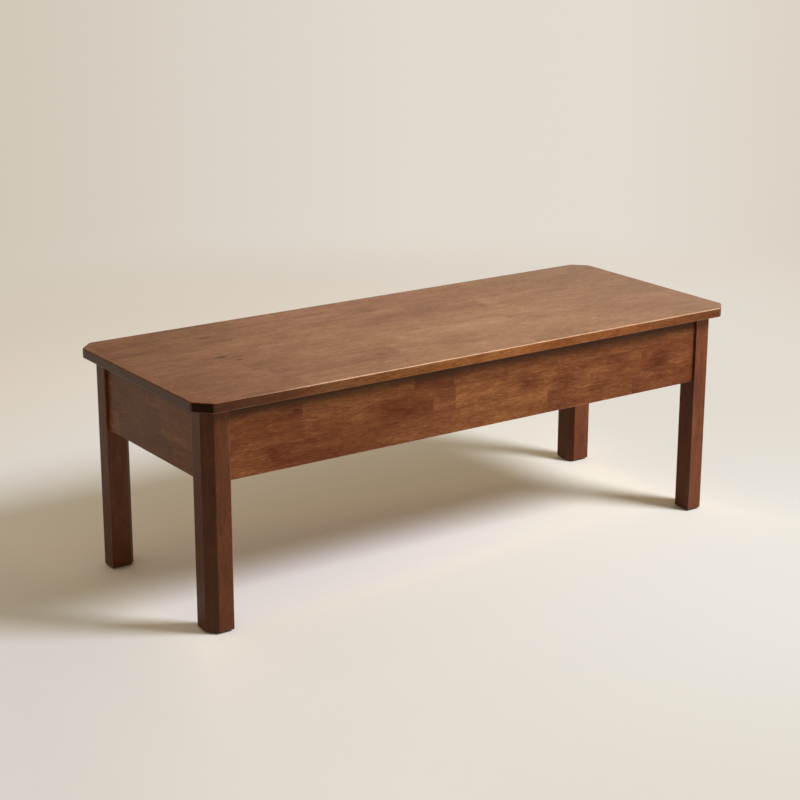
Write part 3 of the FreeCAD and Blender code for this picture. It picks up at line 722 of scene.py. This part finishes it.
def leg_wood():
    """Legs from one stave, their grain upright."""
    low = (0.0, -0.3)
    high = (cad_high.z, 0.3)
    staves = [[(0, 0.5, 0.5)]]
    parts = (LEG_FINISH, (), leg_arris, leg_faces)
    return wood("leg_wood", plain_axes("zxy"), ends_along("z"), low, high, staves, *parts)


def rail_wood():
    """Cross rails, their grain along Y."""
    box_low, box_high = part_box("cross_rail_right")
    low = (box_low.y, box_low.z)
    high = (box_high.y, box_high.z)
    staves = [[(0, 0.5, 0.4)]]
    return wood("rail_wood", plain_axes("yzx"), ends_along("y"), low, high, staves, INNER_FINISH)


def block_wood():
    """Corner blocks, their grain across the corner."""
    staves = [[(0, 0.5, 0.4)]]
    return wood("block_wood", corner_axes, corner_ends, (-10, 0.0), (10, 0.5), staves, INNER_FINISH)


def dowel_wood():
    """Bare beech dowels, their grain along Y."""
    staves = [[(0, 0.5, 0.2)]]
    low = (-1, 0.0)
    high = (1, 0.5)
    return wood("dowel_wood", plain_axes("yzx"), ends_along("y"), low, high, staves, DOWEL_FINISH)


# Metal and plastic

PASSIVATED_ZINC = rgb(222, 216, 196)


def zinc(name, tint, gloss):
    """Bright zinc plate: faint clouds of passivation, fine scratches and a crisp gloss."""
    material, graph = new_material(name)
    place = graph.place()
    cloud = graph.noise(place, 160.0, 4.0, 0.6, 1.2)
    scratch = graph.noise(place, 2600.0, 2.0, 0.7)
    shader = graph.add("ShaderNodeBsdfPrincipled")
    darker = rgb(*[round(channel * 0.86) for channel in tint])
    colour = graph.ramp(cloud, [(0.25, darker), (0.55, rgb(*tint)), (0.8, PASSIVATED_ZINC)])
    graph.feed(shader.inputs["Base Color"], colour)
    shader.inputs["Metallic"].default_value = 1.0
    rough = graph.plus(gloss, graph.times(graph.minus(cloud, 0.5), 0.25))
    graph.feed(shader.inputs["Roughness"], rough)
    close_material(graph, shader, scratch, 0.00003, 0.5)
    return material


def glide_plastic():
    """Dark brown moulded plastic with a fine moulded grain and paler scuffs on its sole."""
    material, graph = new_material("glide_plastic")
    place = graph.place()
    grain = graph.noise(place, 1800.0, 3.0, 0.6)
    scuff = graph.span(graph.noise(place, 230.0, 4.0, 0.7, 1.5), 0.55, 0.75)
    height = graph.split(place)[2]
    sole = graph.span(height, 0.0, 0.0012, 1.0, 0.0)
    shader = graph.add("ShaderNodeBsdfPrincipled")
    colour = graph.mix(grain, rgb(40, 31, 26), rgb(58, 46, 38))
    colour = graph.mix(graph.times(scuff, sole, 0.6), colour, rgb(112, 98, 86))
    graph.feed(shader.inputs["Base Color"], colour)
    graph.feed(shader.inputs["Roughness"], graph.plus(0.46, graph.times(scuff, 0.2)))
    close_material(graph, shader, grain, 0.00005, 0.6)
    return material


# Detailed fasteners, each built once and copied to where the frame has its solids

SCREW_HEAD_HEIGHT = 2.8 * MM
SCREW_SHANK_RADIUS = 2 * MM
SCREW_PITCH = 1.5 * MM
NAIL_HEAD_THICKNESS = 0.9 * MM
NAIL_SHANK_RADIUS = 1.2 * MM
NAIL_TIP = 2.2 * MM
BOLT_IN_LEG = 36 * MM
BOLT_COLLAR = 5 * MM
BOLT_TIP = 5 * MM
COARSE_PITCH = 2.8 * MM
COARSE_DEPTH = 0.7 * MM
FINE_PITCH = 1.25 * MM
FINE_DEPTH = 0.5 * MM
WASHER_BORE_RADIUS = 4.2 * MM
NUT_BORE_RADIUS = 3.6 * MM


def solids(node):
    """The points of each separate solid in a CAD node."""
    bm = bmesh.new()
    bm.from_mesh(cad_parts[node].data)
    bmesh.ops.remove_doubles(bm, verts=bm.verts, dist=1e-6)
    seen = set()
    found = []
    for start in bm.verts:
        if start in seen:
            continue
        seen.add(start)
        stack = [start]
        points = []
        while stack:
            vertex = stack.pop()
            points.append(vertex.co.copy())
            for edge in vertex.link_edges:
                other = edge.other_vert(vertex)
                if other not in seen:
                    seen.add(other)
                    stack.append(other)
        found.append(np.array(points, float))
    bm.free()
    return found


def stand(points, flat=False):
    """A solid's own axis and length: its low end and the turn that points +Z along it.
    A long piece points away from its wider end."""
    centre = points.mean(0)
    axis = np.linalg.svd(points - centre)[2][2 if flat else 0]
    along = (points - centre) @ axis
    radial = np.linalg.norm((points - centre) - np.outer(along, axis), axis=1)
    widest = along[radial > radial.max() * 0.98].mean()
    if widest > 0 and not flat:
        axis = -axis
        along = -along
    low = Vector(centre + axis * along.min())
    turn = Vector((0, 0, 1)).rotation_difference(Vector(axis))
    return Matrix.Translation(low) @ turn.to_matrix().to_4x4(), float(np.ptp(along)), float(radial.max())


def stands(node, flat=False):
    """Where all of a node's solids stand, and the length and radius of the first."""
    found = [stand(points, flat) for points in solids(node)]
    return [place for place, _, _ in found], found[0][1], found[0][2]


def add_piece(name, template, places, material, node):
    """One object that holds a copy of a template mesh at each place and stands for a CAD node."""
    bm = bmesh.new()
    for place in places:
        copy = template.copy()
        copy.transform(place)
        bm.from_mesh(copy)
        bpy.data.meshes.remove(copy)
    mesh = bpy.data.meshes.new(name)
    bm.to_mesh(mesh)
    bm.free()
    mesh.materials.append(material)
    piece = bpy.data.objects.new(name, mesh)
    bpy.context.scene.collection.objects.link(piece)
    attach(piece, "root")
    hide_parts(node)
    return piece


def add_ring(bm, radii, height):
    """New vertices at even steps round Z, one for each radius."""
    ring = []
    for step, radius in enumerate(radii):
        angle = 2 * math.pi * step / len(radii)
        ring.append(bm.verts.new((radius * math.cos(angle), radius * math.sin(angle), height)))
    return ring


def bridge(bm, lower, upper):
    """Faces between two rings, either of which may be a single vertex."""
    count = max(len(lower), len(upper))
    for step in range(count):
        after = (step + 1) % count
        corners = [lower[step % len(lower)], lower[after % len(lower)]]
        corners += [upper[after % len(upper)], upper[step % len(upper)]]
        unique = list(dict.fromkeys(corners))
        if len(unique) > 2:
            bm.faces.new(unique)


def turned(profile, segments):
    """A mesh turned about Z from (radius, height) points that start and end on the axis."""
    bm = bmesh.new()
    rings = [add_ring(bm, [radius] * (segments if radius > 0 else 1), height) for radius, height in profile]
    for lower, upper in zip(rings, rings[1:]):
        bridge(bm, lower, upper)
    bmesh.ops.recalc_face_normals(bm, faces=bm.faces)
    return bm


def threaded(radius, depth, pitch, low, high, segments=16):
    """A rod with a helical thread between two heights, closed at both ends."""
    bm = bmesh.new()
    rows = max(8, round((high - low) / pitch * 6))
    rings = []
    for row in range(rows + 1):
        radii = []
        height = low + (high - low) * row / rows
        fade = min(1.0, row / 5, (rows - row) / 5)
        for step in range(segments):
            phase = ((height / pitch) - step / segments) % 1.0
            groove = abs(2 * phase - 1)
            radii.append(radius - depth * groove - depth * (1 - fade) * (1 - groove))
        rings.append(add_ring(bm, radii, height))
    for lower, upper in zip(rings, rings[1:]):
        bridge(bm, lower, upper)
    bm.faces.new(list(reversed(rings[0])))
    bm.faces.new(rings[-1])
    return bm


def to_mesh(name, *parts):
    """One mesh from several bmesh parts."""
    joined = bmesh.new()
    for bm in parts:
        part = bpy.data.meshes.new("part")
        bm.to_mesh(part)
        bm.free()
        joined.from_mesh(part)
        bpy.data.meshes.remove(part)
    for face in joined.faces:
        face.smooth = True
    mesh = bpy.data.meshes.new(name)
    joined.to_mesh(mesh)
    joined.free()
    mesh.set_sharp_from_angle(angle=math.radians(32))
    return mesh


def cut(mesh, cutter):
    """The mesh with a cutter's shape taken out of it."""
    scene = bpy.context.scene
    body = bpy.data.objects.new("body", mesh)
    tool = bpy.data.objects.new("tool", cutter)
    scene.collection.objects.link(body)
    scene.collection.objects.link(tool)
    modifier = body.modifiers.new("cut", "BOOLEAN")
    modifier.operation = "DIFFERENCE"
    modifier.solver = "EXACT"
    modifier.object = tool
    bpy.context.view_layer.update()
    evaluated = body.evaluated_get(bpy.context.evaluated_depsgraph_get())
    done = bpy.data.meshes.new_from_object(evaluated)
    bpy.data.objects.remove(body)
    bpy.data.objects.remove(tool)
    return done


def cross_cutter(reach, width, top, depth):
    """A tapered cross, point up, for the recess of a screw head whose face looks down."""
    bm = bmesh.new()
    for turn in (0, 1):
        half = (reach, width) if turn == 0 else (width, reach)
        wide = [(half[0] * sx, half[1] * sy, top) for sx, sy in ((-1, -1), (1, -1), (1, 1), (-1, 1))]
        small = [(x * 0.45, y * 0.45, depth) for x, y, _ in wide]
        corners = [bm.verts.new(point) for point in wide + small]
        bm.faces.new(corners[3::-1])
        bm.faces.new(corners[4:])
        bridge(bm, corners[:4], corners[4:])
    bmesh.ops.recalc_face_normals(bm, faces=bm.faces)
    mesh = bpy.data.meshes.new("cross")
    bm.to_mesh(mesh)
    bm.free()
    return mesh


def screw_mesh(length, head_radius):
    """A pan-head wood screw, head down: a domed head, a cross recess and a pointed thread."""
    head_height = SCREW_HEAD_HEIGHT
    shank_radius = SCREW_SHANK_RADIUS
    ease = 0.35 * head_height
    head = turned(
        [
            (0, 0.0),
            (0.55 * head_radius, 0.02 * head_height),
            (0.80 * head_radius, 0.16 * head_height),
            (0.94 * head_radius, 0.42 * head_height),
            (head_radius, head_height - ease),
            (head_radius, head_height - 0.1 * ease),
            (0.96 * head_radius, head_height),
            (0, head_height),
        ],
        32,
    )
    head_mesh = to_mesh("head", head)
    recess = cross_cutter(0.46 * head_radius, 0.11 * head_radius, -0.2 * MM, 0.62 * head_height)
    head_mesh = cut(head_mesh, recess)
    bm = bmesh.new()
    bm.from_mesh(head_mesh)
    tip = 1.4 * shank_radius
    shank = threaded(shank_radius, 0.24 * shank_radius, SCREW_PITCH, head_height, length - tip)
    point = turned([(0, length - tip), (0.76 * shank_radius, length - tip), (0, length)], 16)
    return to_mesh("screw", bm, shank, point)


def add_screws(name, node, material):
    """Wood screws at the solids of a node."""
    places, length, head_radius = stands(node)
    add_piece(name, screw_mesh(length, head_radius), places, material, node)


def add_nails(material):
    """Round-headed nails in the foot glides."""
    places, length, head = stands("glide_nails")
    thick = NAIL_HEAD_THICKNESS
    shank = NAIL_SHANK_RADIUS
    profile = [(0, 0), (0.7 * head, 0.03 * MM), (head, 0.35 * thick), (head, 0.9 * thick)]
    profile += [(0.95 * head, thick), (shank, thick), (shank, length - NAIL_TIP), (0, length)]
    mesh = to_mesh("nail", turned(profile, 24))
    add_piece("nails", mesh, places, material, "glide_nails")


def add_bolts(material):
    """Hanger bolts: a coarse wood thread in the leg, a plain collar and a fine thread for the nut."""
    turns = []
    for points in solids("hanger_bolts"):
        place, length, radius = stand(points)
        outwards = place.to_3x3() @ Vector((0, 0, 1))
        middle = place @ Vector((0, 0, length / 2))
        if outwards.x * middle.x > 0:
            place = place @ Matrix.Translation((0, 0, length)) @ Matrix.Rotation(math.pi, 4, "X")
        turns.append(place)
    low = BOLT_IN_LEG
    high = BOLT_IN_LEG + BOLT_COLLAR
    neck = 0.97 * radius
    coarse = threaded(radius, COARSE_DEPTH, COARSE_PITCH, BOLT_TIP, low, 20)
    tip = turned([(0, 0), (0.8 * radius, BOLT_TIP), (0, BOLT_TIP)], 20)
    plain = turned([(0, low), (neck, low), (neck, high), (0, high)], 24)
    fine = threaded(radius, FINE_DEPTH, FINE_PITCH, high, length, 20)
    mesh = to_mesh("hanger_bolt", coarse, tip, plain, fine)
    add_piece("leg_bolts", mesh, turns, material, "hanger_bolts")


def ring_profile_mesh(profile, segments, name):
    """A closed ring turned about Z from a loop of (radius, height) points."""
    bm = bmesh.new()
    rings = []
    for step in range(segments):
        angle = 2 * math.pi * step / segments
        rings.append([bm.verts.new((r * math.cos(angle), r * math.sin(angle), z)) for r, z in profile])
    for number, ring in enumerate(rings):
        bridge(bm, rings[(number + 1) % segments], ring)
    bmesh.ops.recalc_face_normals(bm, faces=bm.faces)
    return to_mesh(name, bm)


def add_washers(material):
    """Flat washers with softened rims."""
    places, thick, outer = stands("bolt_washers", flat=True)
    inner = WASHER_BORE_RADIUS
    ease = 0.3 * MM
    profile = [(inner, ease), (inner + ease, 0), (outer - ease, 0), (outer, ease)]
    profile += [(outer, thick - ease), (outer - ease, thick), (inner + ease, thick), (inner, thick - ease)]
    mesh = ring_profile_mesh(profile, 48, "washer")
    add_piece("washers", mesh, places, material, "bolt_washers")


def nut_mesh(height, corner_radius, segments=48):
    """A hexagon nut whose corners are chamfered round at both faces."""
    flat_radius = corner_radius * math.cos(math.pi / 6)
    inner = NUT_BORE_RADIUS
    bm = bmesh.new()
    rings = []
    for level in (0.0, 0.10, 0.22, 0.5, 0.78, 0.90, 1.0):
        from_face = min(level, 1 - level) * height
        turned_radius = flat_radius * 0.96 + from_face * 1.75
        radii = []
        for step in range(segments):
            off = (2 * math.pi * step / segments + math.pi / 6) % (math.pi / 3) - math.pi / 6
            hexagon = flat_radius / math.cos(math.pi / 6 - abs(off))
            radii.append(min(hexagon, turned_radius))
        rings.append(add_ring(bm, radii, level * height))
    for level, radius in ((1.0, inner * 1.12), (0.88, inner), (0.12, inner), (0.0, inner * 1.12)):
        rings.append(add_ring(bm, [radius] * segments, level * height))
    for number, ring in enumerate(rings):
        bridge(bm, ring, rings[(number + 1) % len(rings)])
    bmesh.ops.recalc_face_normals(bm, faces=bm.faces)
    return to_mesh("nut", bm)


def add_nuts(material):
    """Hexagon nuts drawn up on the washers."""
    places, height, corner_radius = stands("bolt_nuts", flat=True)
    add_piece("nuts", nut_mesh(height, corner_radius), places, material, "bolt_nuts")


def add_glide(corner, material):
    """A round glide with a domed edge under one foot."""
    node = f"foot_glide_{corner}"
    low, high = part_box(node)
    outer = (high.x - low.x) / 2
    thick = high.z - low.z
    recess = 3.5 * MM
    shank = 1.35 * MM
    seat = 1.4 * MM
    profile = [(shank, thick), (shank, seat), (recess, seat), (recess, 0.15 * MM), (recess + 0.15 * MM, 0)]
    profile += [(outer - 1.1 * MM, 0), (outer - 0.45 * MM, 0.3 * MM), (outer - 0.1 * MM, 0.8 * MM)]
    profile += [(outer, 1.3 * MM), (outer, thick - 0.2 * MM), (outer - 0.2 * MM, thick)]
    mesh = ring_profile_mesh(profile, 48, node)
    place = Matrix.Translation(((low.x + high.x) / 2, (low.y + high.y) / 2, low.z))
    add_piece(f"glide_{corner}", mesh, [place], material, node)


# Materials of the CAD nodes that stay


def paint(node, material):
    """Give a CAD node its material."""
    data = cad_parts[node].data
    if not data.materials:
        data.materials.append(material)
    for number in range(len(data.materials)):
        data.materials[number] = material


def dress():
    """Materials for the wood and the steel, and detailed pieces for the fasteners."""
    paint("top_panel", top_wood())
    paint("apron_front", front_apron_wood())
    paint("apron_rear", apron_wood("apron_rear_wood", "xzy", "apron_rear", random_blocks(5)))
    paint("apron_left", apron_wood("apron_left_wood", "yzx", "apron_left", random_blocks(8)))
    paint("apron_right", apron_wood("apron_right_wood", "yzx", "apron_right", random_blocks(13)))
    legs = leg_wood()
    blocks = block_wood()
    plastic = glide_plastic()
    for corner in CORNERS:
        paint(f"leg_{corner}", legs)
        paint(f"corner_block_{corner}", blocks)
        add_glide(corner, plastic)
    rails = rail_wood()
    paint("cross_rail_right", rails)
    paint("cross_rail_left", rails)
    paint("rail_dowels", dowel_wood())
    bright = zinc("zinc_steel", (206, 208, 208), 0.28)
    add_screws("corner_screws", "block_screws", bright)
    add_screws("clip_fixings", "clip_screws", bright)
    add_screws("rail_fixings", "rail_screws", bright)
    add_nails(bright)
    add_bolts(bright)
    add_washers(bright)
    add_nuts(bright)
    paint("top_clips", zinc("clip_steel", (190, 192, 194), 0.36))


# Studio


def forward(graph, x, y):
    """How far a place lies towards where the camera looks, over the ground."""
    return graph.plus(graph.times(x, math.sin(CAMERA_YAW)), graph.times(y, math.cos(CAMERA_YAW)))


def floor_look(graph, x, y):
    """The tone the floor shows, with painted light in it: it fans out ahead of the camera's place, darker
    to the left, is brightest in a painted pool of light in front of the bench, and runs into the backdrop
    far off and behind the camera's place."""
    from_x = graph.minus(x, CAMERA_PLACE[0])
    from_y = graph.minus(y, CAMERA_PLACE[1])
    ahead = forward(graph, from_x, from_y)
    angle = graph.math("ARCTAN2", from_x, from_y)
    fan = graph.span(angle, CAMERA_YAW - FAN_WIDTH, CAMERA_YAW + FAN_WIDTH, 0.0, 1.0, "LINEAR")
    far = graph.ramp(fan, FAR_TONES)
    close = graph.ramp(fan, CLOSE_TONES)
    off = graph.distance(x, y)
    colour = graph.mix(graph.span(off, 1.2, 3.2), close, far)
    colour = graph.mix(graph.span(ahead, 0.0, 1.6), BACKDROP, colour)
    colour = graph.mix(graph.span(off, 14.0, 34.0), colour, BACKDROP)
    # painted pool of light in front of the bench
    run = graph.minus(x, LIGHT_POOL_PLACE[0])
    rise = graph.minus(y, LIGHT_POOL_PLACE[1])
    spot = graph.distance(run, rise)
    return graph.mix(graph.span(spot, 0.1, 1.1, 1.0, 0.0), colour, LIGHT_POOL_TONE)


def floor_light(graph, x, y):
    """The light that falls on the open floor, in red, green and blue."""
    aim = (LAMP_TARGET - LAMP_PLACE).normalized()
    run = graph.minus(x, LAMP_PLACE.x)
    rise = graph.minus(y, LAMP_PLACE.y)
    square = graph.plus(graph.times(run, run), graph.times(rise, rise), LAMP_PLACE.z**2)
    towards = graph.plus(graph.times(run, aim.x), graph.times(rise, aim.y), -LAMP_PLACE.z * aim.z)
    strength = LAMP_POWER * LAMP_PLACE.z / math.pi**2
    lamp = graph.math("DIVIDE", graph.times(towards, strength), graph.times(square, square))
    # the bench hides part of the fill from the floor round its feet
    from_end = graph.times(graph.minus(graph.absolute(x), cad_high.x), END_FALLOFF)
    from_side = graph.minus(graph.absolute(y), cad_high.y)
    nearest, farthest = FILL_SHARES[0][0], FILL_SHARES[-1][0]
    off = graph.span(graph.larger(from_end, from_side), nearest, farthest, 0.0, 1.0, "LINEAR")
    reach = farthest - nearest
    stops = [((gap - nearest) / reach, (share, share, share, 1.0)) for gap, share in FILL_SHARES]
    fill = graph.times(graph.ramp(off, stops), FILL_LEVEL + FILL_FROM_ABOVE * 2 / 3)
    channels = [
        graph.plus(graph.times(lamp, lamp_part), graph.times(fill, fill_part))
        for lamp_part, fill_part in zip(LAMP_COLOUR, FILL_COLOUR)
    ]
    return graph.join(*channels)


def make_floor():
    """A wide pale floor, which far off glows with its tone instead of being lit, as painted light. From
    below it is clear, so that the underside can be seen."""
    bm = bmesh.new()
    bmesh.ops.create_circle(bm, cap_ends=True, segments=96, radius=FLOOR_RADIUS)
    mesh = bpy.data.meshes.new("floor")
    bm.to_mesh(mesh)
    bm.free()
    floor = bpy.data.objects.new("floor", mesh)
    bpy.context.scene.collection.objects.link(floor)
    material, graph = new_material("floor")
    place = graph.add("ShaderNodeNewGeometry").outputs["Position"]
    x, y, _ = graph.split(place)
    look = floor_look(graph, x, y)

    # painted light: the floor's colour is its tone divided by the estimated light, so it evens out the
    # lamp's falloff and is painted brighter round the bench's feet, where the bench shades it
    paper = graph.noise(place, 30.0, 4.0, 0.6)
    light_cancelled_tone = graph.mix(1.0, look, floor_light(graph, x, y), "DIVIDE")
    light_cancelled_tone = graph.mix(1.0, light_cancelled_tone, (FLOOR_LIMIT, FLOOR_LIMIT, FLOOR_LIMIT, 1.0), "DARKEN")
    lit = graph.add("ShaderNodeBsdfDiffuse")
    graph.feed(lit.inputs["Color"], graph.mix(graph.times(paper, 0.04), light_cancelled_tone, PAPER_FIBRE))

    # painted light: far off, the floor glows with its tone for the camera and for gloss
    path = graph.add("ShaderNodeLightPath")
    seen = graph.larger(path.outputs["Is Camera Ray"], path.outputs["Is Glossy Ray"])
    off = graph.distance(x, y)
    far = graph.span(off, 1.6, 3.0)
    glow = graph.add("ShaderNodeEmission")
    graph.feed(glow.inputs["Color"], look)
    away = graph.add("ShaderNodeMixShader")
    graph.feed(away.inputs[0], graph.times(seen, far))
    graph.feed(away.inputs[1], lit.outputs[0])
    graph.feed(away.inputs[2], glow.outputs[0])

    below = graph.add("ShaderNodeNewGeometry").outputs["Backfacing"]
    clear = graph.add("ShaderNodeBsdfTransparent")
    both = graph.add("ShaderNodeMixShader")
    graph.feed(both.inputs[0], below)
    graph.feed(both.inputs[1], away.outputs[0])
    graph.feed(both.inputs[2], clear.outputs[0])
    close_material(graph, both)
    mesh.materials.append(material)


def make_world():
    """Soft warm light from all round, least from behind the camera; the camera sees the backdrop."""
    world = bpy.data.worlds.new("studio")
    bpy.context.scene.world = world
    world.use_nodes = True
    graph = Graph(world.node_tree)
    place = graph.add("ShaderNodeTexCoord").outputs["Generated"]
    x, y, z = graph.split(place)
    path = graph.add("ShaderNodeLightPath")

    behind = forward(graph, x, y)
    level = graph.plus(FILL_LEVEL, graph.times(z, FILL_FROM_ABOVE), graph.times(behind, FILL_FROM_BEHIND))
    level = graph.larger(level, LEAST_FILL)
    fill = graph.join(*[graph.times(level, part) for part in FILL_COLOUR])

    bright = graph.mix(graph.span(x, 0.20, 0.72), MIRRORED_LEFT, MIRRORED_RIGHT)
    mirrored = graph.mix(graph.span(behind, -0.3, 0.5), MIRRORED_ROOM, bright)
    colour = graph.mix(path.outputs["Is Glossy Ray"], fill, mirrored)
    colour = graph.mix(path.outputs["Is Camera Ray"], colour, BACKDROP)
    light = graph.add("ShaderNodeBackground")
    graph.feed(light.inputs["Color"], colour)
    output = graph.add("ShaderNodeOutputWorld")
    graph.feed(output.inputs[0], light.outputs[0])


def make_lamp():
    """A softbox to the right, above and a little in front."""
    data = bpy.data.lights.new("softbox", "AREA")
    data.shape = "DISK"
    data.size = LAMP_SIZE
    data.energy = LAMP_POWER
    data.color = LAMP_COLOUR
    lamp = bpy.data.objects.new("softbox", data)
    bpy.context.scene.collection.objects.link(lamp)
    lamp.location = LAMP_PLACE
    lamp.rotation_euler = (LAMP_TARGET - LAMP_PLACE).to_track_quat("-Z", "Y").to_euler()


def make_camera():
    """The camera at the photograph's viewing angle."""
    data = bpy.data.cameras.new("camera")
    data.lens = LENS
    data.sensor_width = 36.0
    data.clip_end = 200.0
    camera = bpy.data.objects.new("camera", data)
    bpy.context.scene.collection.objects.link(camera)
    turn = Matrix.Rotation(-CAMERA_YAW, 4, "Z")
    turn = turn @ Matrix.Rotation(math.pi / 2 - CAMERA_PITCH, 4, "X")
    turn = turn @ Matrix.Rotation(CAMERA_ROLL, 4, "Z")
    camera.matrix_world = Matrix.Translation(CAMERA_PLACE) @ turn
    bpy.context.scene.camera = camera
    bpy.context.scene.view_settings.view_transform = "Standard"


dress()
make_floor()
make_world()
make_lamp()
make_camera()
